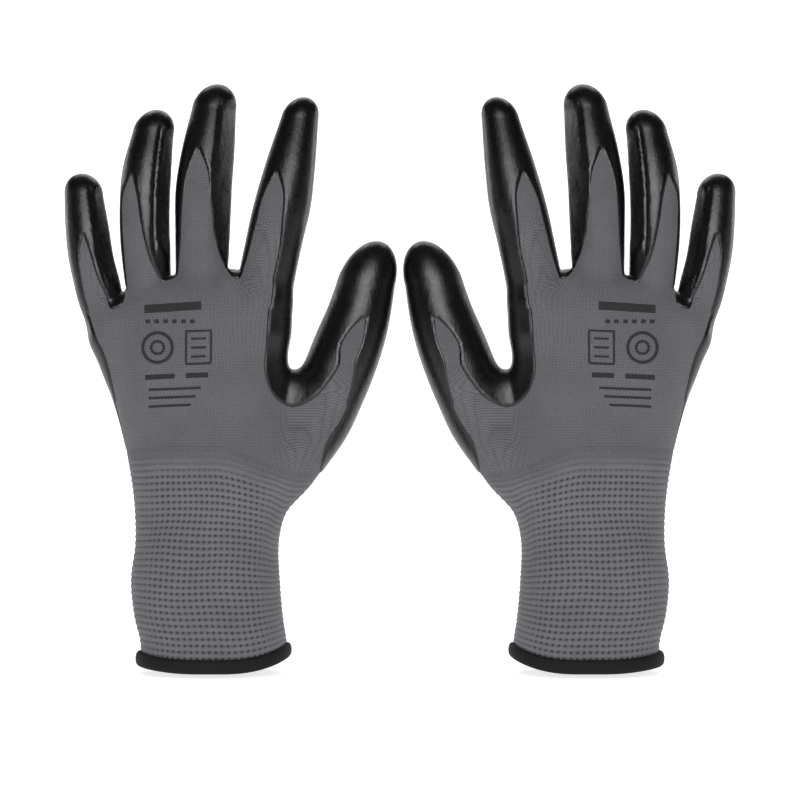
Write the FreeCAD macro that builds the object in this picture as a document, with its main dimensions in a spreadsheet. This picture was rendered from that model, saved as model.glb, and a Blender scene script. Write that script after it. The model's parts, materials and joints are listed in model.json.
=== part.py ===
"""A pair of palm-dipped knitted work gloves, standing on their cuffs with the backs of the hands
toward -Y, the palms toward +Y and the fingertips up. Each glove is a knitted liner with a ribbed
cuff, a dipped coating over palm, thumb and fingertips, a sewn hem, cuff elastic and a back print.
The finger stalls and the wrist are split where they bend, each upper part carrying a ball end
that turns inside the lower one. The right glove is the left one mirrored about X = 0."""
import FreeCAD, Part
import math
import os

doc = FreeCAD.newDocument("work_gloves")
sheet = doc.addObject("Spreadsheet::Sheet", "dims")

V = FreeCAD.Vector
X_AXIS = V(1, 0, 0)
Y_AXIS = V(0, 1, 0)
Z_AXIS = V(0, 0, 1)

# ------------------------------------------------------------------ driving dimensions (mm, deg)
COMMON_SIZES = {
    "coat": 0.6,             # dipped coating
    "knit": 1.2,             # liner wall
    "rib": 1.6,              # cuff wall
    "play": 0.4,             # gap round a ball end
    "shell": 1.1,            # ball end wall
    "lip": 2.0,              # floor that ties a ball end to its tube
    "overrun": 3.0,          # how far a raw tube runs past its joint before it is trimmed
    "trim_box": 60.0,
    "clear_x": 200.0,        # how far trimming blocks reach sideways, past the whole glove
    "clear_y": 50.0,         # and to the front and back
    "vent_share": 0.36,      # way through a ball end, as a share of the tube's radius
    "vent_turn": 202.0,      # it points down and a little toward the palm
    "knuckle_gap": 1.25,
    "middle_gap": 0.5,
    "wrist_z": 60.0,
    "wrist_ball_x": 27.0,
    "wrist_ball_yz": 18.9,
    "wrist_mouth": 14.0,     # the wrist ball is open below this depth
    "mouth_low_z": 20.0,
    "wrist_centre_x": 78.5,
    "hem_height": 6.0,
    "hem_centre_x": 76.2,
    "hem_half_width": 31.7,
    "hem_half_depth": 22.9,
    "hem_fold": 1.0,
    "elastic_size": 0.8,
    "elastic_first_z": 11.0,
    "elastic_pitch": 5.0,
    "elastic_rounds": 6.0,
    "bare_front": -0.8,      # the knit on the back shows up to this y
    "palm_coat_z": 78.0,     # lower edge of the coating on the palm
    "web_coat_z": 108.0,     # lower edge of the coating beside the thumb on the back
    "back_left_x": 121.0,
    "back_right_x": 54.0,
    "back_low_z": 10.0,
    "back_top_z": 150.0,
    "back_front": -1.1,      # the bare back ends at this y, just behind the tongues
    "print_width": 34.0,
    "print_height": 4.0,
    "print_pitch": 9.0,
    "print_rows": 3.0,
    "print_centre_x": 88.0,
    "print_first_z": 116.0,
}

# x grows away from the thumb side; lean is toward the thumb side, curl toward the palm
FINGER_SIZES = {
    "little": {"x": 125.4, "y": 0.0, "z": 168.0, "root_r": 6.0, "r0": 8.9, "r1": 8.5,
               "r2": 7.3, "lean0": -13.5, "lean1": -6.9, "lean2": -6.7, "curl0": 0.0,
               "curl1": 4.0, "curl2": 14.0, "root": 27.0, "len1": 16.7, "len2": 12.4,
               "hinge": 0.0, "bend1": 70.0, "bend2": 80.0, "bare_x": 124.2, "bare_z": 146.0,
               "bare_w": 6.0, "bare_lean": -8.0, "bare_len": 28.0},
    "ring": {"x": 103.2, "y": 0.0, "z": 175.5, "root_r": 9.0, "r0": 10.1, "r1": 10.0,
             "r2": 8.4, "lean0": 0.0, "lean1": -0.3, "lean2": 6.2, "curl0": 0.0,
             "curl1": 4.0, "curl2": 14.0, "root": 27.0, "len1": 22.6, "len2": 24.0,
             "hinge": 0.0, "bend1": 70.0, "bend2": 80.0, "bare_x": 106.5, "bare_z": 146.0,
             "bare_w": 11.0, "bare_lean": -2.5, "bare_len": 50.0},
    "middle": {"x": 80.4, "y": 0.0, "z": 177.0, "root_r": 10.0, "r0": 11.4, "r1": 11.2,
               "r2": 8.8, "lean0": 0.0, "lean1": 2.3, "lean2": 7.7, "curl0": 0.0,
               "curl1": 4.0, "curl2": 14.0, "root": 28.0, "len1": 25.1, "len2": 30.9,
               "hinge": 0.0, "bend1": 70.0, "bend2": 80.0, "bare_x": 81.0, "bare_z": 146.0,
               "bare_w": 13.0, "bare_lean": -1.0, "bare_len": 59.0},
    "index": {"x": 51.1, "y": 0.0, "z": 177.0, "root_r": 9.5, "r0": 11.8, "r1": 11.3,
              "r2": 8.2, "lean0": 2.0, "lean1": 11.8, "lean2": 11.7, "curl0": 0.0,
              "curl1": 4.0, "curl2": 14.0, "root": 28.0, "len1": 22.0, "len2": 29.6,
              "hinge": 0.0, "bend1": 70.0, "bend2": 80.0, "bare_x": 57.5, "bare_z": 146.0,
              "bare_w": 10.0, "bare_lean": 7.5, "bare_len": 52.0},
    "thumb": {"x": 22.8, "y": 5.0, "z": 125.5, "root_r": 11.0, "r0": 14.2, "r1": 13.0,
              "r2": 9.3, "lean0": 35.0, "lean1": 15.8, "lean2": 13.2, "curl0": 6.0,
              "curl1": 6.0, "curl2": 12.0, "root": 58.0, "len1": 24.0, "len2": 19.2,
              "hinge": 15.0, "bend1": 35.0, "bend2": 60.0, "bare_x": 32.0, "bare_z": 104.0,
              "bare_w": 9.0, "bare_lean": 25.0, "bare_len": 40.0},
}

# height, outer edge x, thumb-side edge x, half depth
PALM_SECTIONS = (
    (65.8, 107.8, 47.5, 21.0),
    (82.0, 109.9, 46.0, 19.0),
    (100.0, 113.8, 44.5, 17.0),
    (120.0, 120.3, 44.6, 15.6),
    (138.0, 126.9, 44.4, 13.4),
    (157.0, 132.3, 42.8, 9.5),
)
CUFF_SECTIONS = (
    (1.0, 106.1, 44.9, 21.8),
    (23.0, 107.7, 47.4, 21.4),
    (39.0, 109.0, 48.5, 21.3),
    (54.2, 107.7, 49.4, 21.0),
)

row = 0


def put(alias, value):
    """One named cell of the sheet."""
    global row
    row += 1
    sheet.set("A%d" % row, alias)
    sheet.set("B%d" % row, repr(float(value)))
    sheet.setAlias("B%d" % row, alias)


for alias, value in COMMON_SIZES.items():
    put(alias, value)
for finger, sizes in FINGER_SIZES.items():
    for key, value in sizes.items():
        put("%s_%s" % (finger, key), value)
for part, sections in (("palm", PALM_SECTIONS), ("cuff", CUFF_SECTIONS)):
    for index, (height, outer, inner, depth) in enumerate(sections):
        put("%s_z_%d" % (part, index), height)
        put("%s_out_%d" % (part, index), outer)
        put("%s_in_%d" % (part, index), inner)
        put("%s_deep_%d" % (part, index), depth)
doc.recompute()


def size(alias):
    """The value of one named cell."""
    return float(sheet.get(alias))


# ------------------------------------------------------------------ building blocks
def add(kind, name, place=None, **expressions):
    """A document object with its sizes bound to the sheet."""
    made = doc.addObject(kind, name)
    for prop, expression in expressions.items():
        made.setExpression(prop, expression)
    if place is not None:
        made.Placement = place
    return made


def cut(name, base, tool):
    made = doc.addObject("Part::Cut", name)
    made.Base = base
    made.Tool = tool
    return made


def fuse(name, shapes):
    made = doc.addObject("Part::MultiFuse", name)
    made.Shapes = shapes
    return made


def common(name, first, second):
    made = doc.addObject("Part::Common", name)
    made.Base = first
    made.Tool = second
    return made


def heading(lean, curl):
    """Unit vector leaning toward the thumb side and curling toward the palm."""
    lean = math.radians(lean)
    curl = math.radians(curl)
    return V(math.sin(lean) * math.cos(curl), math.sin(curl), math.cos(lean) * math.cos(curl))


def tube(name, start, along, length, radius_low, radius_high, inset):
    """A solid cone frustum run past both ends by the overrun, inset from the outer surface."""
    place = FreeCAD.Placement(start - along * size("overrun"), FreeCAD.Rotation(Z_AXIS, along))
    return add("Part::Cone", name, place,
               Height="%s + 2 * dims.overrun" % length,
               Radius1="%s - (%s)" % (radius_low, inset),
               Radius2="%s - (%s)" % (radius_high, inset))


def stall_end(name, start, along, length, radius_low, radius_high, inset):
    """A frustum closed by a round fingertip."""
    base = start - along * size("overrun")
    place = FreeCAD.Placement(base, FreeCAD.Rotation(Z_AXIS, along))
    body = add("Part::Cone", name + "_side", place,
               Height="%s + dims.overrun" % length,
               Radius1="%s - (%s)" % (radius_low, inset),
               Radius2="%s - (%s)" % (radius_high, inset))
    tip_at = start + along * size(length.replace("dims.", ""))
    tip = add("Part::Sphere", name + "_tip", FreeCAD.Placement(tip_at, FreeCAD.Rotation()),
              Radius="%s - (%s)" % (radius_high, inset))
    return fuse(name, [body, tip])


def side_of_joint(name, centre, frame, radius, gap, tilt, upper, shift=0.0):
    """Block that keeps one side of a joint. Its face passes the back of the tube and opens by
    the tilt toward the palm, so that the two sides can fold."""
    half = size("trim_box") / 2
    sign = 1 if upper else -1
    place = FreeCAD.Placement(centre, frame)
    place = place.multiply(FreeCAD.Placement(V(0, -radius, sign * gap), FreeCAD.Rotation()))
    place = place.multiply(FreeCAD.Placement(V(), FreeCAD.Rotation(X_AXIS, sign * tilt)))
    low = shift if upper else -size("trim_box") - shift
    place = place.multiply(FreeCAD.Placement(V(-half, radius - half, low), FreeCAD.Rotation()))
    return add("Part::Box", name, place, Length="dims.trim_box", Width="dims.trim_box",
               Height="dims.trim_box")


def fold_tilt(bend):
    """Tilt of each face that lets two tubes fold by the given bend."""
    return math.degrees(math.atan(math.tan(math.radians(bend) / 2) / 2))


def ellipse_loft(name, part, sections, grow):
    """A solid through horizontal ellipses, grown outward by the given expression."""
    rings = []
    for index in range(len(sections)):
        prefix = "dims.%s_" % part
        half_width = "(%sout_%d - %sin_%d) / 2 + %s" % (prefix, index, prefix, index, grow)
        centre_x = -(size("%s_out_%d" % (part, index)) + size("%s_in_%d" % (part, index))) / 2
        place = FreeCAD.Placement(V(centre_x, 0, size("%s_z_%d" % (part, index))),
                                  FreeCAD.Rotation())
        rings.append(add("Part::Ellipse", "%s_ring_%d" % (name, index), place,
                         MajorRadius=half_width,
                         MinorRadius="%sdeep_%d + %s" % (prefix, index, grow)))
    made = doc.addObject("Part::Loft", name)
    made.Sections = rings
    made.Solid = True
    return made


def block(name, across, deep, tall):
    """A plain block between two expressions in each direction."""
    made = doc.addObject("Part::Box", name)
    for axis, prop, (low, high) in (("x", "Length", across), ("y", "Width", deep),
                                    ("z", "Height", tall)):
        made.setExpression(prop, "(%s) - (%s)" % (high, low))
        made.setExpression("Placement.Base." + axis, low)
    return made


LEFT_GLOVE = ("-dims.clear_x", "0")
ALL_DEPTH = ("-dims.clear_y", "dims.clear_y")


nodes = []


def node(name, shape_object):
    """Names a finished sub-part of the left glove and adds its mirror image."""
    shape_object.Label = "left_" + name
    nodes.append(shape_object)
    mirrored = doc.addObject("Part::Mirroring", "right_" + name)
    mirrored.Source = shape_object
    mirrored.Base = V(0, 0, 0)
    mirrored.Normal = X_AXIS
    mirrored.Label = "right_" + name
    nodes.append(mirrored)


# ------------------------------------------------------------------ finger and thumb stalls
WALL = "dims.coat + dims.knit"
hand_outer = []
hand_inner = []
hand_coat = []
hand_bare = []

for finger in FINGER_SIZES:
    get = {key: size("%s_%s" % (finger, key)) for key in FINGER_SIZES[finger]}
    ref = "dims.%s_" % finger
    knuckle = V(-get["x"], get["y"], get["z"])
    first = heading(get["lean1"], get["curl1"])
    second = heading(get["lean2"], get["curl2"])
    rooted = heading(get["lean0"], get["curl0"])
    middle = knuckle + first * get["len1"]
    turn = FreeCAD.Rotation(Y_AXIS, get["hinge"])
    frame_low = turn.multiply(FreeCAD.Rotation(X_AXIS, -(get["curl0"] + get["curl1"]) / 2))
    frame_high = turn.multiply(FreeCAD.Rotation(X_AXIS, -(get["curl1"] + get["curl2"]) / 2))
    joints = (
        ("knuckle", knuckle, frame_low, get["r0"], size("knuckle_gap"), fold_tilt(get["bend1"])),
        ("middle", middle, frame_high, get["r1"], size("middle_gap"), fold_tilt(get["bend2"])),
    )
    sides = {}
    for joint, centre, frame, radius, gap, tilt in joints:
        for upper, side in ((True, "above"), (False, "below")):
            sides[joint, side] = side_of_joint("%s_%s_%s" % (finger, joint, side), centre,
                                               frame, radius, gap, tilt, upper)
        sides[joint, "cavity"] = side_of_joint("%s_%s_cavity" % (finger, joint), centre, frame,
                                               radius, gap, tilt, True, size("lip"))

    # the bare knit tongue on the back of the finger
    bare_along = heading(get["bare_lean"], 0)
    bare_at = V(-get["bare_x"], 0, get["bare_z"])
    turned = FreeCAD.Rotation(Z_AXIS, bare_along)
    depth = size("trim_box") / 2
    strip_place = FreeCAD.Placement(bare_at, turned).multiply(
        FreeCAD.Placement(V(-get["bare_w"] / 2, size("bare_front") - depth, 0),
                          FreeCAD.Rotation()))
    strip = add("Part::Box", finger + "_bare_strip", strip_place, Length=ref + "bare_w",
                Width="dims.trim_box / 2", Height=ref + "bare_len")
    round_place = FreeCAD.Placement(bare_at + bare_along * get["bare_len"], turned).multiply(
        FreeCAD.Placement(V(0, size("bare_front"), 0), FreeCAD.Rotation(X_AXIS, 90)))
    rounding = add("Part::Cylinder", finger + "_bare_round", round_place,
                   Radius=ref + "bare_w / 2", Height="dims.trim_box / 2")
    bare = fuse(finger + "_bare", [strip, rounding])
    hand_bare.append(bare)

    # root of the stall, part of the hand
    root_at = knuckle - rooted * get["root"]
    for inset, name, pile in (("dims.coat", "liner", hand_outer), ("0", "coat", hand_coat)):
        raw = tube("%s_root_%s" % (finger, name), root_at, rooted, ref + "root",
                   ref + "root_r", ref + "r0", inset)
        pile.append(common("%s_root_%s_trimmed" % (finger, name), raw,
                           sides["knuckle", "below"]))
    hand_inner.append(tube(finger + "_root_cavity", root_at, rooted, ref + "root",
                           ref + "root_r", ref + "r0", WALL))

    # the two moving lengths, each with a ball end in the tube below it
    for part, joint, start, along, length, low, high, closed in (
            ("proximal", "knuckle", knuckle, first, "len1", "r0", "r1", False),
            ("distal", "middle", middle, second, "len2", "r1", "r2", True)):
        prefix = "%s_%s" % (finger, part)
        shape = stall_end if closed else tube
        bodies = {}
        for name, inset in (("coat", "0"), ("knit", "dims.coat"), ("hollow", WALL)):
            raw = shape("%s_%s_raw" % (prefix, name), start, along, ref + length, ref + low,
                        ref + high, inset)
            if name != "hollow" and not closed:
                raw = common("%s_%s_topped" % (prefix, name), raw, sides["middle", "below"])
            keep = sides[joint, "cavity"] if name == "hollow" else sides[joint, "above"]
            bodies[name] = common("%s_%s" % (prefix, name), raw, keep)
        ball_radius = "%s - (%s) - dims.play" % (ref + low, WALL)
        at_joint = FreeCAD.Placement(start, FreeCAD.Rotation())
        ball = add("Part::Sphere", prefix + "_ball", at_joint, Radius=ball_radius)
        core = add("Part::Sphere", prefix + "_core", at_joint,
                   Radius=ball_radius + " - dims.shell")
        frame = frame_low if joint == "knuckle" else frame_high
        down = FreeCAD.Placement(start, frame).multiply(
            FreeCAD.Placement(V(), FreeCAD.Rotation(X_AXIS, size("vent_turn"))))
        vent = add("Part::Cylinder", prefix + "_vent", down,
                   Radius=ref + low + " * dims.vent_share", Height=ref + low)
        solid = fuse(prefix + "_solid", [bodies["knit"], ball])
        hollow = fuse(prefix + "_void", [bodies["hollow"], core, vent])
        liner = cut(prefix + "_liner", solid, hollow)
        node("%s_%s_liner" % (finger, part), liner)
        skin = cut(prefix + "_skin", bodies["coat"], bodies["knit"])
        coating = cut(prefix + "_coating", skin, bare)
        node("%s_%s_coating" % (finger, part), coating)

# ------------------------------------------------------------------ hand
wrist_centre = V(-size("wrist_centre_x"), 0, size("wrist_z"))
wrist_place = FreeCAD.Placement(wrist_centre, FreeCAD.Rotation())
palm_outer = ellipse_loft("palm_liner", "palm", PALM_SECTIONS, "0")
palm_coat = ellipse_loft("palm_coat", "palm", PALM_SECTIONS, "dims.coat")
palm_inner = ellipse_loft("palm_hollow", "palm", PALM_SECTIONS, "(0 - dims.knit)")

cavity_limits = block("palm_cavity_limits", LEFT_GLOVE, ALL_DEPTH,
                      ("dims.palm_z_0 + dims.lip",
                       "dims.palm_z_%d - dims.knit" % (len(PALM_SECTIONS) - 1)))
palm_cavity = common("palm_cavity", palm_inner, cavity_limits)
wrist_ball = add("Part::Ellipsoid", "wrist_ball", wrist_place,
                 Radius1="dims.wrist_ball_yz", Radius2="dims.wrist_ball_x",
                 Radius3="dims.wrist_ball_yz")
wrist_core = add("Part::Ellipsoid", "wrist_core", wrist_place,
                 Radius1="dims.wrist_ball_yz - dims.shell",
                 Radius2="dims.wrist_ball_x - dims.shell",
                 Radius3="dims.wrist_ball_yz - dims.shell")
wrist_mouth = block("wrist_mouth", LEFT_GLOVE, ALL_DEPTH,
                    ("dims.mouth_low_z", "dims.wrist_z - dims.wrist_mouth"))
hand_solid = fuse("hand_solid", [palm_outer] + hand_outer + [wrist_ball])
hand_void = fuse("hand_void", [palm_cavity] + hand_inner + [wrist_core, wrist_mouth])
node("hand_liner", cut("hand_liner_cut", hand_solid, hand_void))

knit_body = fuse("hand_knit_body", [palm_outer] + hand_outer)
coat_body = fuse("hand_coat_body", [palm_coat] + hand_coat)
hand_skin = cut("hand_skin", coat_body, knit_body)
below_coat = block("below_coat", LEFT_GLOVE, ALL_DEPTH, ("0", "dims.palm_coat_z"))
bare_heel = block("bare_heel", LEFT_GLOVE, ("-dims.clear_y", "dims.bare_front"),
                  ("0", "dims.web_coat_z"))
bare_back = block("bare_back", ("-dims.back_left_x", "-dims.back_right_x"),
                  ("-dims.clear_y", "dims.back_front"), ("dims.back_low_z", "dims.back_top_z"))
bare_hand = fuse("bare_hand", [below_coat, bare_heel, bare_back] + hand_bare)
node("palm_coating", cut("palm_coating_cut", hand_skin, bare_hand))

print_bars = []
for index in range(int(size("print_rows"))):
    bottom = "dims.print_first_z + %d * dims.print_pitch" % index
    print_bars.append(block("print_bar_%d" % index,
                            ("-dims.print_centre_x - dims.print_width / 2",
                             "-dims.print_centre_x + dims.print_width / 2"),
                            ("-dims.clear_y", "0"), (bottom, bottom + " + dims.print_height")))
print_ink = cut("print_ink", palm_coat, palm_outer)
node("back_print", common("back_print_cut", print_ink, fuse("print_bars", print_bars)))

# ------------------------------------------------------------------ cuff
cuff_outer = ellipse_loft("cuff_outer", "cuff", CUFF_SECTIONS, "0")
cuff_hollow = ellipse_loft("cuff_hollow", "cuff", CUFF_SECTIONS, "(0 - dims.rib)")
cuff = cut("cuff_cut", cuff_outer, cuff_hollow)
node("ribbed_cuff", cuff)


def oval(name, centre_x, grow):
    """An upright oval block as tall as the hem."""
    ring = add("Part::Ellipse", name + "_ring",
               FreeCAD.Placement(V(-centre_x, 0, 0), FreeCAD.Rotation()),
               MajorRadius="dims.hem_half_width + " + grow,
               MinorRadius="dims.hem_half_depth + " + grow)
    made = add("Part::Extrusion", name, None, LengthFwd="dims.hem_height")
    made.Base = ring
    made.Dir = Z_AXIS
    made.Solid = True
    return made


hem_outer = oval("hem_outer", size("hem_centre_x"), "0")
hem_inner = oval("hem_inner", size("hem_centre_x"), "(0 - 2 * dims.hem_fold - dims.rib)")
hem_raw = cut("hem_raw", hem_outer, hem_inner)
node("hem_overlock", cut("hem_cut", hem_raw, cuff))

# rounds of elastic yarn laid against the inside of the rib
elastic_core = ellipse_loft("elastic_core", "cuff", CUFF_SECTIONS,
                            "(0 - dims.rib - dims.elastic_size)")
elastic_sleeve = cut("elastic_sleeve", cuff_hollow, elastic_core)
rounds = []
for index in range(int(size("elastic_rounds"))):
    bottom = "dims.elastic_first_z + %d * dims.elastic_pitch" % index
    rounds.append(block("elastic_round_%d" % index, LEFT_GLOVE, ALL_DEPTH,
                        (bottom, bottom + " + dims.elastic_size")))
node("cuff_elastic", common("cuff_elastic_cut", elastic_sleeve, fuse("elastic_rounds", rounds)))

# ------------------------------------------------------------------ check and write
doc.recompute()
for made in doc.Objects:
    if "Invalid" in made.State or "Error" in made.State:
        raise RuntimeError("%s did not build: %s" % (made.Name, made.State))
os.makedirs("parts", exist_ok=True)
for made in nodes:
    shape = made.Shape
    if shape.isNull() or not shape.isValid() or not shape.Solids:
        raise RuntimeError("%s has no valid solid" % made.Label)
    shape.exportStep("parts/%s.step" % made.Label)
    print("%-26s %2d solids %9.1f mm3" % (made.Label, len(shape.Solids), shape.Volume))
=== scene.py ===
"""Looks of a pair of knitted work gloves with a dark dipped coating.

Each glove is one smooth implicit form: a palm, four fingers and a thumb, joined by soft unions and
placed by the frame's joints. Its surface is meshed, then split into the bare knit and the coating
that lies on it, and each of those is split where a hand bends. The ribbed cuff, the hem, the
elastic and the print are meshed on the same form. Lengths are in millimetres in glove space, where
q is the distance from the plane midway between the gloves, y points out of the palm and z up."""
import json
import math
import bpy
import numpy as np
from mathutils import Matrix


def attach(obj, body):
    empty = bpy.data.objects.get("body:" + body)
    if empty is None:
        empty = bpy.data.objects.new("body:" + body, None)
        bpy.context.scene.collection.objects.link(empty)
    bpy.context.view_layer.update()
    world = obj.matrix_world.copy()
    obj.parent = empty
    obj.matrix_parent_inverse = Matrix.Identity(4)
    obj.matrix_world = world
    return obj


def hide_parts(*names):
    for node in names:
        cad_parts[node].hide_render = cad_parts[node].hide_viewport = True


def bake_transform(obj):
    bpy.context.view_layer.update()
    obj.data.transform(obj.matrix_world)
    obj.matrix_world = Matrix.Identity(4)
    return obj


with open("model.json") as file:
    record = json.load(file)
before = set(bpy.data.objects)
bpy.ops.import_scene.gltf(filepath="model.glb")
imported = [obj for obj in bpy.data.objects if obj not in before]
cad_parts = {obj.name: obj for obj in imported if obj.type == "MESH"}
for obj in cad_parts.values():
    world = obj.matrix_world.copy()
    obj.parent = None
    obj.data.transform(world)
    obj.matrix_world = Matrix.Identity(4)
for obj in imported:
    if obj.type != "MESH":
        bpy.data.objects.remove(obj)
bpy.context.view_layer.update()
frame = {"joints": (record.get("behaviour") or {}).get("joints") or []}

import openvdb as vdb
from mathutils import Vector

MM = 0.001
SIDES = {"left": -1, "right": 1}
FINGERS = ("little", "ring", "middle", "index")
DIGITS = FINGERS + ("thumb",)

# ---------------------------------------------------------------- frame, in glove space
JOINTS = {joint["name"]: joint for joint in frame["joints"]}


def joint_at(name):
    """A joint of the left glove, in glove space."""
    x, y, z = JOINTS["left_" + name]["pos_m"]
    return np.array((abs(x), y, z)) / MM


KNUCKLE = {digit: joint_at(digit + "_knuckle") for digit in DIGITS}
MIDDLE = {digit: joint_at(digit + "_middle") for digit in DIGITS}
THUMB_LEAN = math.radians(15)

# ---------------------------------------------------------------- sizes of the form, in mm
COAT = 0.5               # film of coating over the knit
KNIT = 1.3               # wall of the knit
# Each digit from its root up to where its tip rounds: height, thumb-side edge, outer edge.
EDGES = {
    "little": ((136, 109.0, 124.6), (150, 112.0, 130.6), (162, 114.6, 133.6), (170, 116.6, 135.2),
               (182, 118.6, 136.4), (195, 121.2, 137.1)),
    "ring": ((138, 91.5, 109.5), (160, 93.2, 112.2), (175, 93.5, 113.9), (190, 93.6, 114.3),
             (206, 93.1, 113.3), (221, 92.6, 109.6)),
    "middle": ((140, 71.0, 91.0), (162, 70.2, 91.4), (178, 69.2, 91.6), (198, 68.4, 91.5),
               (214, 67.5, 89.2), (231, 67.2, 85.4)),
    "index": ((140, 45.6, 68.0), (150, 44.6, 67.4), (162, 42.5, 65.8), (175, 39.8, 63.2),
              (190, 36.4, 60.0), (206, 34.7, 55.6), (227, 33.5, 48.9)),
    "thumb": ((78, 34.8, 66.0), (97, 21.4, 52.0), (110, 15.3, 46.0), (125, 9.3, 39.9),
              (139, 5.2, 34.3), (150, 3.2, 29.5), (158, 2.1, 26.6)),
}
# how far each tip lies toward the palm from the digit's middle joint
TIP_CURL = {"little": 4.5, "ring": 7.0, "middle": 9.0, "index": 8.5, "thumb": 4.0}
# the tips: height of the top, and how far down from it the tip starts to round
TIPS = {"little": (204.2, 8.9), "ring": (230.6, 9.7), "middle": (241.4, 10.6),
        "index": (236.0, 9.4), "thumb": (176.9, 18.4)}
# how far each root lies toward the palm
ROOT_DEPTH = {"little": 0.0, "ring": 0.0, "middle": 0.0, "index": 0.0, "thumb": 1.5}
FLATNESS = 0.88          # a digit's depth as a share of its width
# Flat planes pressed into the thumb side of fingers: turn of the plane from the back in degrees,
# its share of the half width, the heights between which it is full, and the depth of its fold.
PLANES = {"little": (64, 0.80, 166, 194, 0.6), "ring": (66, 0.78, 180, 218, 1.3),
          "middle": (60, 0.78, 176, 229, 0.4)}
PLANE_FADE = (12, 7)     # lengths over which a plane starts and ends
PLANE_ROUNDING = 0.7
FOLD_WIDTH = 0.9

# widths of the soft unions
FINGER_JOIN = 0.5
WEB_JOIN = 9.0
THUMB_JOIN = 11.0
ROOT_JOIN = (11.0, 2.0)  # fingers on the palm, at their roots and above them
ROOT_LEVELS = (148, 165)
PALM_MIDDLE_Q = 66
ROOT_SLANT = 0.1         # the roots rise toward the outer side by this much per mm

WEB_CENTRE = (41.5, 2.5, 110.0)
WEB_HALVES = (10.0, 8.5, 12.0)

SHEET_VOXEL = 0.75
LINING_VOXEL = 2.5
SPACE_LOW = (-1.0, -27.0)
SPACE_HIGH = (141.0, 31.0, 244.0)


def smooth(low, high, value):
    """0 below low, 1 above high, with a soft turn at both ends."""
    share = np.clip((value - low) / (high - low), 0, 1)
    return share * share * (3 - 2 * share)


def curve(at, points):
    """Smooth curve through (place, value) points, straight beyond its ends."""
    place, value = (np.array(part, float) for part in zip(*points))
    slope = np.gradient(value, place)
    index = np.clip(np.searchsorted(place, at) - 1, 0, len(place) - 2)
    gap = place[index + 1] - place[index]
    t = np.clip((at - place[index]) / gap, 0, 1)
    start, end = value[index], value[index + 1]
    first, last = slope[index] * gap, slope[index + 1] * gap
    inside = (start * (1 + 2 * t) * (1 - t) ** 2 + first * t * (1 - t) ** 2
              + end * t * t * (3 - 2 * t) - last * t * t * (1 - t))
    beyond = np.minimum(at - place[0], 0) * slope[0] + np.maximum(at - place[-1], 0) * slope[-1]
    return inside + beyond


def blob(offsets, halves, power=2.0):
    """Signed distance, about, to a rounded solid with these half sizes."""
    share = [np.abs(offset) / half for offset, half in zip(offsets, halves)]
    total = sum(part ** power for part in share) ** (1 / power)
    total = np.maximum(total, 1e-3)
    slope = sum((part ** (power - 1) / half) ** 2 for part, half in zip(share, halves)) ** 0.5
    slope = np.maximum(slope * total ** (1 - power), 1e-3)
    return (total - 1) / slope


def join(first, second, width):
    """Soft union of two distances."""
    near = np.maximum(width - np.abs(first - second), 0) / width
    return np.minimum(first, second) - near ** 3 * width / 6


def digit_lines(digit):
    """A digit's centre, depth and half width as curves of z, and where its tip starts to round."""
    edges, top = EDGES[digit], TIPS[digit]
    knuckle, middle = KNUCKLE[digit], MIDDLE[digit]
    side = [(z, (inner + outer) / 2) for z, inner, outer in edges]
    wide = [(z, (outer - inner) / 2) for z, inner, outer in edges]
    deep = [(edges[0][0], ROOT_DEPTH[digit]), (knuckle[2], knuckle[1]), (middle[2], middle[1]),
            (top[0], middle[1] + TIP_CURL[digit])]
    return side, deep, wide, top[0] - top[1]


def digit_distance(digit, q, y, z):
    side, deep, wide, round_z = digit_lines(digit)
    half = curve(np.minimum(z, round_z), wide) - COAT
    above = np.maximum(z - round_z, 0)
    below = np.maximum(EDGES[digit][0][0] - z, 0)
    offsets = (q - curve(z, side), y - curve(z, deep), above + below)
    length = np.where(above > 0, TIPS[digit][1] - COAT, half)
    found = blob(offsets, (half, half * FLATNESS, length))
    if digit in PLANES:
        found = pressed(digit, found, offsets[0], offsets[1] / FLATNESS, z, half)
    return found


def pressed(digit, found, across, deep, z, half):
    """Presses the flat side plane into a finger, with the fold along its edge."""
    turn, share, low, high, fold_depth = PLANES[digit]
    turn = math.radians(turn)
    strength = (smooth(low - PLANE_FADE[0], low, z)
                * (1 - smooth(high, high + PLANE_FADE[1], z)))
    reach = half * (share + (1 - share) * (1 - strength))
    plane = -across * math.sin(turn) - deep * math.cos(turn) - reach
    edge = turn - math.acos(share)
    along = (np.arctan2(-across, -deep) - edge) * half
    fold = fold_depth * strength * np.exp(-(along / FOLD_WIDTH) ** 2)
    return -join(-found, -plane, PLANE_ROUNDING) + fold * (deep < 0)


# outer and thumb-side edges, half depth: the palm and cuff without the digits
OUTER_EDGE = ((0, 106.6), (12, 105.5), (23, 108.0), (37, 109.5), (54, 107.7), (66, 107.9),
              (86, 110.5), (109, 115.7), (125, 121.8), (140, 126.6), (154, 130.0))
INNER_EDGE = ((0, 46.3), (12, 46.2), (23, 47.7), (37, 48.9), (54, 49.3), (66, 47.2),
              (86, 46.2), (109, 46.0), (125, 46.4), (140, 46.8), (154, 47.0))
HALF_DEPTH = ((0, 22.0), (30, 21.0), (54, 20.0), (75, 18.8), (97, 17.3), (118, 16.0),
              (139, 14.0), (154, 11.5))
PALM_TOP = ((40, 166.0), (80, 164.5), (92, 162.0), (112, 157.0), (130, 146.0))
PALM_CAP = 16.0          # length over which the palm's top is rounded
PALM_POWER = 2.35        # 2 is an ellipse across, more is squarer


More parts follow.
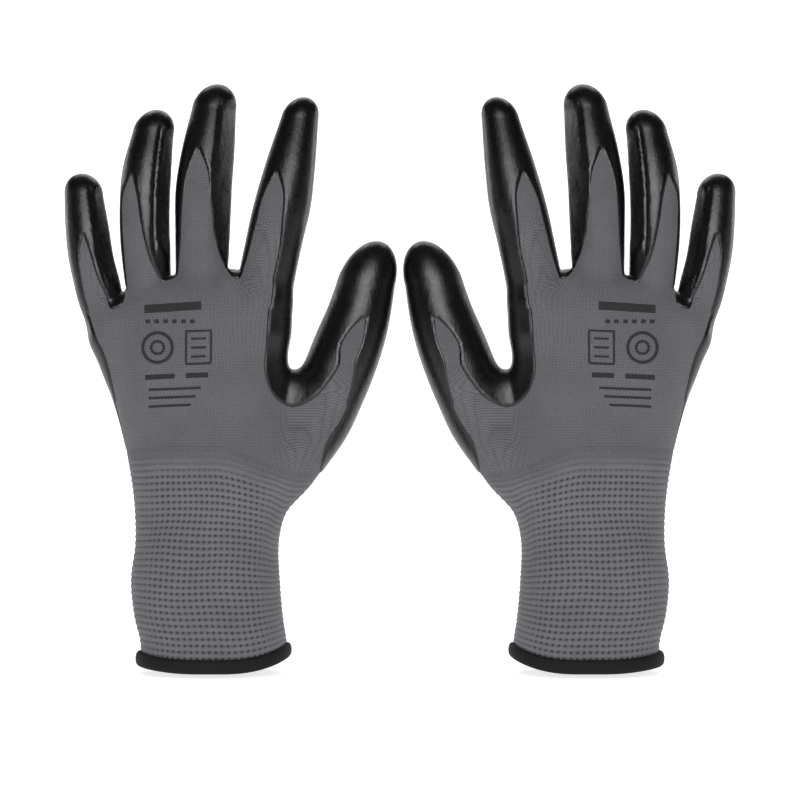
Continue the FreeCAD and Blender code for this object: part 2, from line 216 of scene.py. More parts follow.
def palm_distance(q, y, z):
    level = np.clip(z, HALF_DEPTH[0][0], HALF_DEPTH[-1][0])
    outer, inner = curve(level, OUTER_EDGE), curve(level, INNER_EDGE)
    depth = curve(level, HALF_DEPTH)
    above = np.maximum(z - (curve(q, PALM_TOP) - PALM_CAP), 0)
    return blob((q - (outer + inner) / 2, y, above), ((outer - inner) / 2, depth, PALM_CAP),
                PALM_POWER)


def web_distance(q, y, z):
    """The web between the thumb and the index finger."""
    offsets = [place - centre for place, centre in zip((q, y, z), WEB_CENTRE)]
    return blob(offsets, WEB_HALVES)


def glove_distance(q, y, z):
    """Signed distance to the knit's outer face."""
    fingers = None
    for digit in FINGERS:
        one = digit_distance(digit, q, y, z)
        fingers = one if fingers is None else join(fingers, one, FINGER_JOIN)
    level = z + (q - PALM_MIDDLE_Q) * ROOT_SLANT
    at_root, above = ROOT_JOIN
    soft = above + (at_root - above) * (1 - smooth(*ROOT_LEVELS, level))
    body = join(palm_distance(q, y, z), fingers, soft)
    thumb = join(digit_distance("thumb", q, y, z), web_distance(q, y, z), WEB_JOIN)
    return join(body, thumb, THUMB_JOIN)


def gradient(points, step=0.05):
    """Unit outward direction at each point."""
    parts = []
    for axis in range(3):
        ahead, behind = points.copy(), points.copy()
        ahead[:, axis] += step
        behind[:, axis] -= step
        parts.append((glove_distance(*ahead.T) - glove_distance(*behind.T)) / (2 * step))
    found = np.stack(parts, axis=1)
    return found / np.maximum(np.linalg.norm(found, axis=1, keepdims=True), 1e-9)


def surface_mesh(voxel, offset, low_z):
    """Quads on the surface at this distance from the knit's outer face."""
    low = np.array((*SPACE_LOW, low_z))
    high = np.array(SPACE_HIGH)
    axes = [np.arange(low[i], high[i], voxel) for i in range(3)]
    q, y, z = np.meshgrid(*axes, indexing="ij")
    distance = glove_distance(q, y, z) - offset
    grid = vdb.FloatGrid(5.0)
    grid.copyFromArray(distance.astype(np.float32))
    points, quads = grid.convertToQuads(0.0)
    points = np.asarray(points, float) * voxel + low
    for _ in range(3):
        away = gradient(points)
        points -= away * (glove_distance(*points.T) - offset)[:, None]
    return points, np.asarray(quads, int)


# ---------------------------------------------------------------- tables of vertices and faces
PLACE = slice(0, 3)
REST = slice(3, 6)
REST_Q, REST_Z = 3, 5
NORMAL = slice(6, 9)
WALE, ROW, INSET = 9, 10, 11
COLUMNS = 12


class Sheet:
    """A table of vertices that pieces share, so that they meet exactly where they are cut."""

    def __init__(self, points):
        self.rows = np.zeros((len(points), COLUMNS))
        self.rows[:, PLACE] = points
        self.rows[:, REST] = points

    def split(self, faces, field):
        """The faces where the field is positive and those where it is negative, cut on the line
        between them."""
        value = field(self.rows)
        inside = value >= 0
        new_rows, made = [], {}
        count = len(self.rows)

        def crossing(a, b):
            key = (a, b) if a < b else (b, a)
            if key not in made:
                share = value[key[0]] / (value[key[0]] - value[key[1]])
                new_rows.append(self.rows[key[0]] * (1 - share) + self.rows[key[1]] * share)
                made[key] = count + len(new_rows) - 1
            return made[key]

        kept, dropped = [], []
        for face in faces:
            flags = [inside[corner] for corner in face]
            if all(flags):
                kept.append(face)
                continue
            if not any(flags):
                dropped.append(face)
                continue
            positive, negative = [], []
            for index, corner in enumerate(face):
                follower = face[(index + 1) % len(face)]
                (positive if flags[index] else negative).append(corner)
                if flags[index] != inside[follower]:
                    cut = crossing(corner, follower)
                    positive.append(cut)
                    negative.append(cut)
            kept.append(tuple(positive))
            dropped.append(tuple(negative))
        if new_rows:
            self.rows = np.vstack([self.rows, np.array(new_rows)])
        return kept, dropped

    def score(self, faces, field):
        """The same faces with vertices added along the field's zero line."""
        kept, dropped = self.split(faces, field)
        return kept + dropped

    def smooth_normals(self, faces):
        """Sets each vertex's direction from the faces around it."""
        points = self.rows[:, PLACE]
        total = np.zeros_like(points)
        by_size = {}
        for face in faces:
            by_size.setdefault(len(face), []).append(face)
        for size, group in by_size.items():
            corners = np.array(group)
            for second in range(1, size - 1):
                a, b, c = corners[:, 0], corners[:, second], corners[:, second + 1]
                normal = np.cross(points[b] - points[a], points[c] - points[a])
                for corner in (a, b, c):
                    np.add.at(total, corner, normal)
        length = np.maximum(np.linalg.norm(total, axis=1, keepdims=True), 1e-12)
        self.rows[:, NORMAL] = total / length


def build_object(name, sheet, faces, side):
    """A mesh object made from some of a sheet's faces, mirrored for the left glove."""
    used = sorted({corner for face in faces for corner in face})
    number = {old: new for new, old in enumerate(used)}
    rows = sheet.rows[used]
    mirror = np.array((SIDES[side], 1, 1))
    order = 1 if side == "right" else -1
    polygons = [[number[corner] for corner in face][::order] for face in faces]
    mesh = bpy.data.meshes.new(name)
    mesh.from_pydata((rows[:, PLACE] * mirror * MM).tolist(), [], polygons)
    mesh.polygons.foreach_set("use_smooth", np.ones(len(polygons), bool))
    for label, column in (("wale", WALE), ("row", ROW), ("inset", INSET)):
        attribute = mesh.attributes.new(label, "FLOAT", "POINT")
        attribute.data.foreach_set("value", rows[:, column].astype(np.float32))
    rest = mesh.attributes.new("rest", "FLOAT_VECTOR", "POINT")
    rest.data.foreach_set("vector", rows[:, REST].astype(np.float32).ravel())
    mesh.normals_split_custom_set_from_vertices((rows[:, NORMAL] * mirror).tolist())
    made = bpy.data.objects.new(name, mesh)
    bpy.context.scene.collection.objects.link(made)
    return made


# ---------------------------------------------------------------- where the coating lies
def band(q, low, high):
    """Positive between two edges, in mm from the nearer one."""
    return np.minimum(q - low, high - q)


# bare knit on the back of each finger: height, thumb-side edge, outer edge; the last row is its tip
BARE_STRIP = {
    "little": ((146, 117.2, 125.2), (150, 118.0, 126.6), (162, 123.0, 129.0), (171, 125.7, 129.6),
               (177.8, 128.2, 128.5)),
    "ring": ((150, 95.5, 111.8), (158, 96.6, 111.2), (167, 100.9, 111.6), (182, 104.8, 112.7),
             (195, 106.9, 112.4), (202.6, 108.8, 109.2)),
    "middle": ((152, 64.5, 92.6), (158, 65.3, 91.4), (163, 69.5, 90.2), (175, 74.6, 88.9),
               (190, 76.7, 88.0), (205, 78.2, 85.4), (213.2, 81.5, 81.9)),
    "index": ((150, 52.8, 66.0), (160, 51.6, 64.6), (170, 49.4, 61.6), (184, 47.9, 57.8),
              (196, 47.5, 54.2), (203.6, 49.7, 49.9)),
}
# edges of the bare knit on the back and the thumb, as (height, q); BACK_TOP is (q, height)
BACK_OUTER = ((78, 111.5), (88, 112.2), (97, 113.2), (107, 114.4), (116, 115.9), (130, 119.4),
              (140, 123.9), (150, 126.6))
BACK_INNER = ((108, 46.0), (112, 50.3), (121, 54.4), (134, 54.2), (146, 53.4), (156, 52.3))
THUMB_INNER = ((108, 41.0), (112, 34.5), (118, 29.0), (125, 24.6), (134, 23.4), (141, 18.8),
               (144.6, 14.9))
THUMB_OUTER = ((80, 34.0), (86, 32.9), (92, 31.4), (99, 28.3), (104, 25.0), (112, 21.4),
               (121, 19.2), (128, 18.1), (135, 15.5), (144.6, 14.1))
BACK_TOP = ((45, 156.0), (65.1, 159.7), (80, 162.0), (94.3, 159.5), (104, 153.0), (114.3, 148.5),
            (126, 146.0))
THUMB_BARE_TOP = 144.4
WEB_LOW_Z = 108.2        # lower edge of the coating between the thumb and the index finger
HEEL_Z = 77.0            # lower edge of the coating on the palm
SIDE_OVERLAP = 1.5       # the coating reaches this far toward the back from the side line
OUTER_SIDE_Q = 79        # beyond this q the coating's side edge slants back
OUTER_SIDE_TOP = 110
OUTER_SIDE_SLANT = 0.28
OUTER_SIDE_DROP = 4.5
THUMB_CORNER = 3.0       # roundings where the bare regions meet
HEEL_CORNER = 5.0
STRIP_CORNER = 3.5
# the coating's edge: distance inside it, height over the knit; a thin lip, a bead, then the film
LIP_PLACES = (0, 0.35, 0.8, 1.6, 3.0)
LIP_HEIGHTS = (-0.05, 0.22, 0.44, 0.54, COAT)
KNIT_TUCK = 4.0          # how far the shown knit runs on under the coating


def soft_most(first, second, width):
    """Soft union of two regions given as positive-inside distances."""
    return -join(-first, -second, width)


def bare_back(q, z):
    """Positive where the knit shows on the back of the hand, in mm from the edge."""
    inner = curve(np.maximum(z, WEB_LOW_Z), BACK_INNER)
    back = np.minimum(band(q, inner, curve(z, BACK_OUTER)), curve(q, BACK_TOP) - z)
    thumb = np.minimum(band(q, curve(z, THUMB_OUTER), curve(z, THUMB_INNER)), THUMB_BARE_TOP - z)
    heel = np.minimum(np.minimum(WEB_LOW_Z - z, curve(z, BACK_OUTER) - q),
                      q - curve(z, THUMB_OUTER))
    region = soft_most(soft_most(back, thumb, THUMB_CORNER), heel, HEEL_CORNER)
    for digit, edges in BARE_STRIP.items():
        low = curve(z, [(height, left) for height, left, _ in edges])
        high = curve(z, [(height, right) for height, _, right in edges])
        ends = np.minimum(edges[-1][0] - z, z - edges[0][0])
        region = soft_most(region, np.minimum(band(q, low, high), ends), STRIP_CORNER)
    return region


def digit_near(rows):
    """Which digit each vertex is nearest to."""
    q, y, z = rows[:, REST].T
    found = np.stack([digit_distance(digit, q, y, z) for digit in DIGITS])
    return found.argmin(axis=0)


def side_line(rows):
    """How far each vertex lies toward the palm from the middle of the form around it."""
    _, y, z = rows[:, REST].T
    near = digit_near(rows)
    line = np.zeros(len(rows))
    for index, digit in enumerate(DIGITS):
        _, deep, _, _ = digit_lines(digit)
        start = KNUCKLE[digit][2] - (22 if digit == "thumb" else 8)
        share = smooth(start - 22, start, z) * (near == index)
        line += share * curve(z, deep)
    return y - line


def measured_bare_back(points, step=0.1):
    """bare_back turned into a distance along the surface, which slants away from the camera."""
    value = bare_back(points[:, 0], points[:, 2])
    slopes = []
    for axis in range(3):
        ahead = points.copy()
        ahead[:, axis] += step
        slopes.append((bare_back(ahead[:, 0], ahead[:, 2]) - value) / step)
    slope = np.stack(slopes, axis=1)
    away = gradient(points)
    along = slope - away * (slope * away).sum(axis=1, keepdims=True)
    return value / np.clip(np.linalg.norm(along, axis=1), 0.35, 1.5)


def coat_field(rows):
    """Distance inside the coating's edge, along the surface, in mm."""
    q, _, z = rows[:, REST].T
    from_back = -measured_bare_back(rows[:, REST])
    outer_low = (q > OUTER_SIDE_Q) & (z < OUTER_SIDE_TOP)
    slanted = OUTER_SIDE_SLANT * (OUTER_SIDE_TOP - z) - OUTER_SIDE_DROP
    from_side = side_line(rows) - np.where(outer_low, slanted, SIDE_OVERLAP)
    over_heel = z - (HEEL_Z + 2.0 * np.sin(q * 0.09) + 4.0 * (1 - smooth(32, 62, q)))
    return np.minimum(np.maximum(from_back, from_side), over_heel)


# ---------------------------------------------------------------- knit coordinates
OVAL_TURNS = np.linspace(0, 2 * math.pi, 721)
PALM_OVAL = (36.0, 16.0)  # half width and half depth, for spacing the wales
CUFF_OVAL = (31.0, 20.0)
MIDDLE_WALE_Q = 79


def oval_lengths(half_width, half_depth):
    """Length along an oval from its back up to each of OVAL_TURNS."""
    steps = np.hypot(half_width * np.cos(OVAL_TURNS), half_depth * np.sin(OVAL_TURNS))
    length = np.concatenate([[0], np.cumsum((steps[1:] + steps[:-1]) / 2)])
    return length * OVAL_TURNS[1]


def knit_coordinates(rows):
    """Place across the wales and along the rows of stitches, in mm."""
    q, y, z = rows[:, REST].T
    level = np.clip(z, HALF_DEPTH[0][0], HALF_DEPTH[-1][0])
    outer, inner = curve(level, OUTER_EDGE), curve(level, INNER_EDGE)
    centre, half = (outer + inner) / 2, (outer - inner) / 2
    depth = curve(level, HALF_DEPTH)
    turn = np.arctan2((q - centre) / half, -y / depth)
    arc = np.interp(np.abs(turn), OVAL_TURNS, oval_lengths(*PALM_OVAL))
    across = MIDDLE_WALE_Q + np.sign(turn) * arc
    near = digit_near(rows)
    for index, digit in enumerate(DIGITS):
        side, deep, wide, round_z = digit_lines(digit)
        half = np.maximum(curve(np.minimum(z, round_z), wide), 3.0)
        bend = np.arctan2((q - curve(z, side)) / half, -(y - curve(z, deep)) / (half * FLATNESS))
        on_digit = KNUCKLE[digit][0] + bend * half
        top = KNUCKLE[digit][2] + (4 if digit == "thumb" else 14)
        share = smooth(top - 16, top, z) * (near == index)
        share *= 1 - smooth(0.5, 7.0, digit_distance(digit, q, y, z))
        across = across * (1 - share) + on_digit * share
    return across, z


def finish_sheet(sheet):
    sheet.rows[:, WALE], sheet.rows[:, ROW] = knit_coordinates(sheet.rows)


# ---------------------------------------------------------------- cuts between the moving lengths
def rib_top(q):
    """Height where the rib gives way to the plain knit of the hand."""
    return 82.0 - 11.0 * (1 - smooth(38, 76, q)) - 1.5 * smooth(92, 112, q)


def fold_half(digit, joint):
    """Half the length over which a digit folds at a joint."""
    reach = math.radians(JOINTS["left_%s_%s" % (digit, joint)]["range_deg"][1])
    height = KNUCKLE[digit][2] if joint == "knuckle" else MIDDLE[digit][2]
    return 0.75 * reach * curve(height, digit_lines(digit)[2]) * FLATNESS


def up_digit(digit):
    """Direction in which a digit's place along its length is counted."""
    if digit == "thumb":
        return np.array((-math.sin(THUMB_LEAN), 0, math.cos(THUMB_LEAN)))
    return np.array((0.0, 0.0, 1.0))


def fold_span(digit, joint):
    """Start and end of a fold, as points in glove space."""
    centre = KNUCKLE[digit] if joint == "knuckle" else MIDDLE[digit]
    reach = fold_half(digit, joint)
    if joint == "knuckle":
        reach = min(reach, 8.5)
    gap = np.linalg.norm(MIDDLE[digit] - KNUCKLE[digit])
    other = fold_half(digit, "middle" if joint == "knuckle" else "knuckle")
    reach = min(reach, gap * reach / (reach + other))
    return centre - up_digit(digit) * reach, centre + up_digit(digit) * reach


def beyond(index, point, along):
    """Field that is positive on one digit past a plane."""
    def field(rows):
        near = digit_near(rows)
        height = (rows[:, REST] - point) @ along
        return np.where(near == index, height, -1.0)
    return field


def cut_lengths(sheet, faces):
    """Splits faces into the palm and, for each digit, its lower and upper length."""
    pieces = {}
    for index, digit in enumerate(DIGITS):
        start, end = fold_span(digit, "knuckle")
        along = up_digit(digit)
        upper, faces = sheet.split(faces, beyond(index, start, along))
        top, low = sheet.split(upper, beyond(index, end, along))
        pieces[digit, "proximal"] = low
        pieces[digit, "distal"] = top
    pieces["palm"] = faces
    return pieces


def set_moving(made, key, side):
    """Ties a palm piece to its hand's body; any other piece only has its placement baked into its
    vertices.
    """
    if key == "palm":
        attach(made, side + "_hand")
        return
    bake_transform(made)


# ---------------------------------------------------------------- materials
class Shader:
    """A node material under construction."""

    def __init__(self, name):
        self.material = bpy.data.materials.new(name)
        self.material.use_nodes = True
        self.tree = self.material.node_tree
        self.surface = self.tree.nodes["Principled BSDF"]

    def put(self, socket, value):
        if isinstance(value, bpy.types.NodeSocket):
            self.tree.links.new(value, socket)
        else:
            socket.default_value = value

    def node(self, kind, inputs=(), **settings):
        made = self.tree.nodes.new(kind)
        for key, value in settings.items():
            setattr(made, key, value)
        for key, value in dict(inputs).items():
            self.put(made.inputs[key], value)
        return made

    def math(self, operation, *values):
        made = self.tree.nodes.new("ShaderNodeMath")
        made.operation = operation
        for index, value in enumerate(values):
            self.put(made.inputs[index], value)
        return made.outputs[0]

    def attribute(self, name, output="Fac"):
        return self.node("ShaderNodeAttribute", attribute_name=name).outputs[output]

    def noise(self, scale, detail=3.0, rough=0.55, stretch=(1, 1, 1)):
        """Noise fixed to the glove at rest, with its scale in waves per mm."""
        place = self.attribute("rest", "Vector")
        spread = self.node("ShaderNodeVectorMath", {0: place, 1: stretch}, operation="MULTIPLY")
        made = self.node("ShaderNodeTexNoise", {"Vector": spread.outputs[0], "Scale": scale,
                                                "Detail": detail, "Roughness": rough})
        return made.outputs["Fac"]

    def mix(self, share, first, second):
        made = self.node("ShaderNodeMix", data_type="RGBA")
        self.put(made.inputs[0], share)
        self.put(made.inputs[6], first)
        self.put(made.inputs[7], second)
        return made.outputs[2]

    def spread(self, value, low, high, to_low=0.0, to_high=1.0):
        made = self.node("ShaderNodeMapRange", {0: value, 1: low, 2: high, 3: to_low, 4: to_high})
        return made.outputs[0]

    def bump(self, height, depth, strength=1.0, under=None):
        inputs = {"Height": height, "Distance": depth * MM, "Strength": strength}
        if under is not None:
            inputs["Normal"] = under
        return self.node("ShaderNodeBump", inputs).outputs["Normal"]

    def wave(self, value, pitch):
        """0 at the middle of each pitch and 1 at its edges."""
        share = self.math("FRACT", self.math("DIVIDE", value, pitch))
        return self.math("MULTIPLY", self.math("ABSOLUTE", self.math("SUBTRACT", share, 0.5)), 2.0)

    def finish(self, **values):
        for name, value in values.items():
            self.put(self.surface.inputs[name.replace("_", " ")], value)
        return self.material


# the darker knit grey is painted shade, for the grooves between stitches and the troughs between
# the rib's ridges
KNIT_LIGHT = (0.136, 0.131, 0.144, 1)
KNIT_SHADED = (0.018, 0.0175, 0.0195, 1)
# painted shade inside the rib's openings
DOT_SHADE = (0.018, 0.0175, 0.0195, 1)
COAT_DARK = (0.002, 0.002, 0.0023, 1)
COAT_LIGHT = (0.005, 0.005, 0.0056, 1)
THREAD_DARK = (0.003, 0.003, 0.0034, 1)
THREAD_LIGHT = (0.011, 0.011, 0.012, 1)
ELASTIC_DARK = (0.16, 0.16, 0.17, 1)
ELASTIC_LIGHT = (0.3, 0.3, 0.31, 1)
INK_DARK = (0.009, 0.009, 0.0105, 1)
INK_LIGHT = (0.024, 0.0235, 0.026, 1)
WALE_PITCH = 1.25
ROW_PITCH = 1.05


def stitches(shader, across, along):
    """Height of plain knit: legs of yarn that slant to a V in each wale."""
    leg = shader.wave(across, WALE_PITCH)
    slanted = shader.math("ADD", along, shader.math("MULTIPLY", leg, ROW_PITCH * 0.7))
    course = shader.math("SUBTRACT", 1.0, shader.wave(slanted, ROW_PITCH))
    groove = shader.math("SUBTRACT", 1.0, shader.math("POWER", leg, 4.0))
    return shader.math("MULTIPLY", shader.math("MULTIPLY_ADD", course, 0.6, 0.4),
                       shader.math("MULTIPLY_ADD", groove, 0.3, 0.7))


def yarn_colour(shader, height, fuzz):
    """Grey yarn with painted shade where it sinks between stitches and ridges, lighter where it
    stands up, mixed with random fuzz, with soft clouds over the glove.
    """
    tone = shader.math("ADD", height, shader.math("MULTIPLY", fuzz, 0.6))
    colour = shader.mix(shader.spread(tone, 0.3, 1.0), KNIT_SHADED, KNIT_LIGHT)
    cloud = shader.spread(shader.noise(0.05, 2.0), 0.3, 0.7, 0.9, 1.07)
    return shader.node("ShaderNodeVectorMath", {0: colour, "Scale": cloud},
                       operation="SCALE").outputs[0]


def yarn_finish(shader, colour, height, fuzz):
    normal = shader.bump(height, 0.2, 0.9, shader.bump(fuzz, 0.1, 0.6))
    return shader.finish(Base_Color=colour, Roughness=0.85, Normal=normal, Sheen_Weight=0.15,
                         Sheen_Roughness=0.5, Specular_IOR_Level=0.2)


def knit_material():
    shader = Shader("liner_knit")
    wander = shader.math("MULTIPLY", shader.noise(0.11, 2.0), 1.2)
    across = shader.math("ADD", shader.attribute("wale"), wander)
    height = stitches(shader, across, shader.attribute("row"))
    fuzz = shader.noise(1.9, 4.0)
    # the stitch height paints shade into the grooves and leaves the raised yarn lighter
    colour = yarn_colour(shader, shader.math("MULTIPLY", height, 0.8), fuzz)
    return yarn_finish(shader, colour, height, fuzz)


def rib_material():
    """The cuff: ridges painted lighter where they stand up, between rows of dots painted with the
    shade where the knit is open.
    """
    shader = Shader("rib_knit")
    fuzz = shader.noise(1.9, 4.0)
    # the ridges' lift paints light on the raised rows and shade in the troughs between them
    height = shader.math("MULTIPLY_ADD", shader.attribute("wale"), 0.7, 0.46)
    colour = yarn_colour(shader, height, fuzz)
    # the dot mask paints shade into the openings of the knit
    dot = shader.spread(shader.attribute("inset"), 0.25, 0.8, 0.0, 0.9)
    fine = shader.math("MULTIPLY", shader.wave(shader.attribute("row"), ROW_PITCH), 0.4)
    return yarn_finish(shader, shader.mix(dot, colour, DOT_SHADE), fine, fuzz)


def coating_material():
    shader = Shader("nitrile_coating")
    grain = shader.noise(2.0, 5.0, 0.65)
    swell = shader.noise(0.16, 3.0, 0.5, (1, 1, 0.6))
    creases = shader.noise(0.28, 2.0, 0.6, (1.6, 1.0, 0.35))
    crease = shader.math("POWER", shader.math("SUBTRACT", 1.0, shader.math(
        "MULTIPLY", shader.math("ABSOLUTE", shader.math("SUBTRACT", creases, 0.5)), 2.0)), 14.0)
    normal = shader.bump(swell, 1.2, 0.2)
    normal = shader.bump(crease, 0.12, 0.2, normal)
    normal = shader.bump(grain, 0.12, 0.45, normal)
    rough = shader.spread(shader.noise(0.35, 4.0), 0.3, 0.7, 0.25, 0.34)
    rub = shader.spread(shader.noise(0.09, 3.0), 0.35, 0.75)
    colour = shader.mix(rub, COAT_DARK, COAT_LIGHT)
    return shader.finish(Base_Color=colour, Roughness=rough, Normal=normal,
                         Specular_IOR_Level=0.5)


def thread_material(name, dark, light, rough):
    shader = Shader(name)
    fuzz = shader.noise(1.6, 3.0)
    colour = shader.mix(fuzz, dark, light)
    return shader.finish(Base_Color=colour, Roughness=rough, Specular_IOR_Level=0.2,
                         Normal=shader.bump(fuzz, 0.1, 0.5))


def ink_material():
    shader = Shader("print_ink")
    worn = shader.noise(2.2, 4.0)
    colour = shader.mix(worn, INK_DARK, INK_LIGHT)
    height = stitches(shader, shader.attribute("wale"), shader.attribute("row"))
    return shader.finish(Base_Color=colour, Roughness=0.7, Specular_IOR_Level=0.25,
                         Normal=shader.bump(height, 0.1, 0.5))


MATERIALS = {
    "liner_knit": knit_material(),
    "rib_knit": rib_material(),
    "nitrile_coating": coating_material(),
    "overlock_thread": thread_material("overlock_thread", THREAD_DARK, THREAD_LIGHT, 0.75),
    "elastic_yarn": thread_material("elastic_yarn", ELASTIC_DARK, ELASTIC_LIGHT, 0.8),
    "print_ink": ink_material(),
}


def dress(made, slot_name, node):
    made.data.materials.append(MATERIALS[slot_name])
    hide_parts(node)


# ---------------------------------------------------------------- rings round the cuff
def cuff_centre(z):
    return (curve(z, OUTER_EDGE) + curve(z, INNER_EDGE)) / 2


def cuff_radius(turn, z):
    """Distance from the cuff's centre line to the knit's outer face."""
    low = np.full(turn.shape, 5.0)
    high = np.full(turn.shape, 55.0)
    for _ in range(26):
        middle = (low + high) / 2
        q = cuff_centre(z) + middle * np.sin(turn)
        outside = glove_distance(q, -middle * np.cos(turn), z) > 0
        high = np.where(outside, middle, high)
        low = np.where(outside, low, middle)
    return (low + high) / 2


def ring_sheet(place, count, rows, closed=False):
    """A sheet whose vertices go round the cuff, with faces between its rows.
    place(turn, share) gives points and the three knit columns."""
    turn, share = np.meshgrid(np.arange(count) * 2 * math.pi / count,
                              np.arange(rows) / (rows if closed else rows - 1), indexing="xy")
    points, columns = place(turn.ravel(), share.ravel())
    sheet = Sheet(points)
    sheet.rows[:, WALE], sheet.rows[:, ROW], sheet.rows[:, INSET] = columns
    faces = []
    for row in range(rows if closed else rows - 1):
        for column in range(count):
            after = (column + 1) % count
            above = (row + 1) % rows
            faces.append((row * count + column, row * count + after, above * count + after,
                          above * count + column))
    sheet.smooth_normals(faces)
    return sheet, faces


HEM_TOP_Z = 5.5
HEM_COVER = 2.0          # the cuff starts this far below the hem's top
RIB_ROWS = 34
RIB_COLUMNS = 70
RIB_FADE = 11.0          # height over which the rib fades into the plain knit
RIB_TUCK = 0.8           # the rib runs on this far inside the plain knit
RIDGE_HEIGHT = 0.32
DOT_DEPTH = 0.5
LINING_TOP_Z = 91.0
ELASTIC_FIRST_Z = 10.0
ELASTIC_PITCH = 5.0
ELASTIC_ROUNDS = 6
ELASTIC_RADIUS = 0.35
YARN_SPREAD = 26.0       # mm of wales per radian round the cuff


def around(turn, radius, z):
    return np.stack([cuff_centre(z) + radius * np.sin(turn), -radius * np.cos(turn), z], axis=1)


def even_turn(turn):
    """Turns about the cuff's centre that are evenly spaced along its outline."""
    length = oval_lengths(*CUFF_OVAL)
    share = np.mod(turn / (2 * math.pi), 1.0)
    found = np.interp(share * length[-1], length, OVAL_TURNS)
    return np.arctan2(CUFF_OVAL[0] * np.sin(found), CUFF_OVAL[1] * np.cos(found))


def rib_place(turn, share):
    column = turn / (2 * math.pi) * RIB_COLUMNS
    row = share * RIB_ROWS
    drift = 0.25 * np.sin(share * 6.0) * np.sin(turn) + 0.12 * np.sin(share * 23 + 3 * turn)
    even = even_turn(turn + drift * 2 * math.pi / RIB_COLUMNS)
    top = np.full(turn.shape, 85.0)
    for _ in range(5):
        top = rib_top(cuff_centre(top) + cuff_radius(even, top) * np.sin(even)) + RIB_FADE
    base = hem_rise(even) + HEM_TOP_Z - HEM_COVER
    z = base + (top + RIB_TUCK - base) * share
    z += 0.25 * np.sin(5 * turn + 9 * share) * np.sin(math.pi * share)
    below = top - z
    radius = cuff_radius(even, z)
    dot = (0.5 + 0.5 * np.cos(2 * math.pi * column)) * (0.5 + 0.5 * np.cos(2 * math.pi * row))
    ridge = -0.5 * np.cos(2 * math.pi * row)
    edge_on = smooth(0.75, 1.0, np.abs(np.sin(even)))
    dots = smooth(RIB_FADE - 5, RIB_FADE + 1, below) * (1 - 0.7 * edge_on)
    ridges = smooth(0.0, RIB_FADE, below) * (0.45 + 0.55 * edge_on)
    radius = radius + RIDGE_HEIGHT * ridges * ridge - DOT_DEPTH * dots * dot
    radius -= 0.12 * (1 - smooth(-RIB_TUCK, 0.6, below))
    # lift and the dot mask also set the painted light on the ridges and the painted shade in the
    # dots
    lift = ridges * ridge + 0.26 * smooth(0.0, RIB_FADE, below)
    return around(even, radius, z), (lift, z, dot * dots)


def lining_place(turn, share):
    base = hem_rise(turn) + HEM_TOP_Z - HEM_COVER
    z = base + (LINING_TOP_Z - base) * share
    radius = cuff_radius(turn, z) - KNIT - 0.25
    wave = 0.12 * np.cos(RIB_COLUMNS * turn)
    return around(turn, radius + wave, z), (turn * YARN_SPREAD, z, 0 * z)


def hem_rise(turn):
    """The hem stands on the palm side, and rises at the back of the hand and more at its ends."""
    side, front = np.sin(turn), np.cos(turn)
    return 0.85 * (1 + front) + (4.3 - 1.65 * side) * side ** 4


HEM_HALF_HEIGHT = 2.85
HEM_HALF_WIDTH = 1.75
HEM_THREADS = 84
HEM_RING_Z = 7.0         # the hem follows the cuff's outline at this height


def hem_place(turn, share):
    roll = share * 2 * math.pi
    centre_z = hem_rise(turn) + HEM_HALF_HEIGHT + 0.05
    radius = cuff_radius(turn, np.full_like(turn, HEM_RING_Z)) + 0.15
    twist = HEM_THREADS * turn + 1.6 * np.sin(roll)
    bulge = 0.16 * np.abs(np.cos(twist / 2)) - 0.08
    edge = 0.25 * (0.5 + 0.5 * np.cos(twist)) * np.maximum(np.sin(roll), 0) ** 4
    wide = np.sign(np.cos(roll)) * np.abs(np.cos(roll)) ** 0.75 * (HEM_HALF_WIDTH + bulge)
    tall = np.sign(np.sin(roll)) * np.abs(np.sin(roll)) ** 0.9 * (HEM_HALF_HEIGHT + edge)
    points = around(turn, radius + wide, centre_z)
    points[:, 0] += cuff_centre(HEM_RING_Z) - cuff_centre(centre_z)
    points[:, 2] = np.maximum(centre_z + tall, 0.02)
    return points, (turn * 30, roll, 0 * turn)


def elastic_place(height):
    def place(turn, share):
        roll = share * 2 * math.pi
        z = np.full_like(turn, height)
        radius = cuff_radius(turn, z) - KNIT - 0.6 + ELASTIC_RADIUS * np.cos(roll)
        return (around(turn, radius, z + ELASTIC_RADIUS * np.sin(roll)),
                (turn * YARN_SPREAD, z, 0 * z))
    return place


# ---------------------------------------------------------------- print on the back of the hand
LANE_WIDTH = 1.2         # wide strokes are split so that they follow the form
INK_HEIGHT = 0.09


def stroke(points, width):
    """Quads along a line of (q, z) points, about a millimetre long each."""
    quads = []
    for start, end in zip(points[:-1], points[1:]):
        start, end = np.array(start, float), np.array(end, float)
        count = max(1, int(np.linalg.norm(end - start)))
        along = (end - start) / np.linalg.norm(end - start)
        across = np.array((-along[1], along[0])) * width
        lanes = math.ceil(width / LANE_WIDTH)
        for step, lane in np.ndindex(count, lanes):
            a = start + (end - start) * step / count
            b = start + (end - start) * (step + 1) / count
            near, far = across * (lane / lanes - 0.5), across * ((lane + 1) / lanes - 0.5)
            quads.append((a + near, b + near, b + far, a + far))
    return quads


def ring_points(centre, radius, count=24):
    turns = np.linspace(0, 2 * math.pi, count + 1)
    return [(centre[0] + radius * math.cos(t), centre[1] + radius * math.sin(t)) for t in turns]


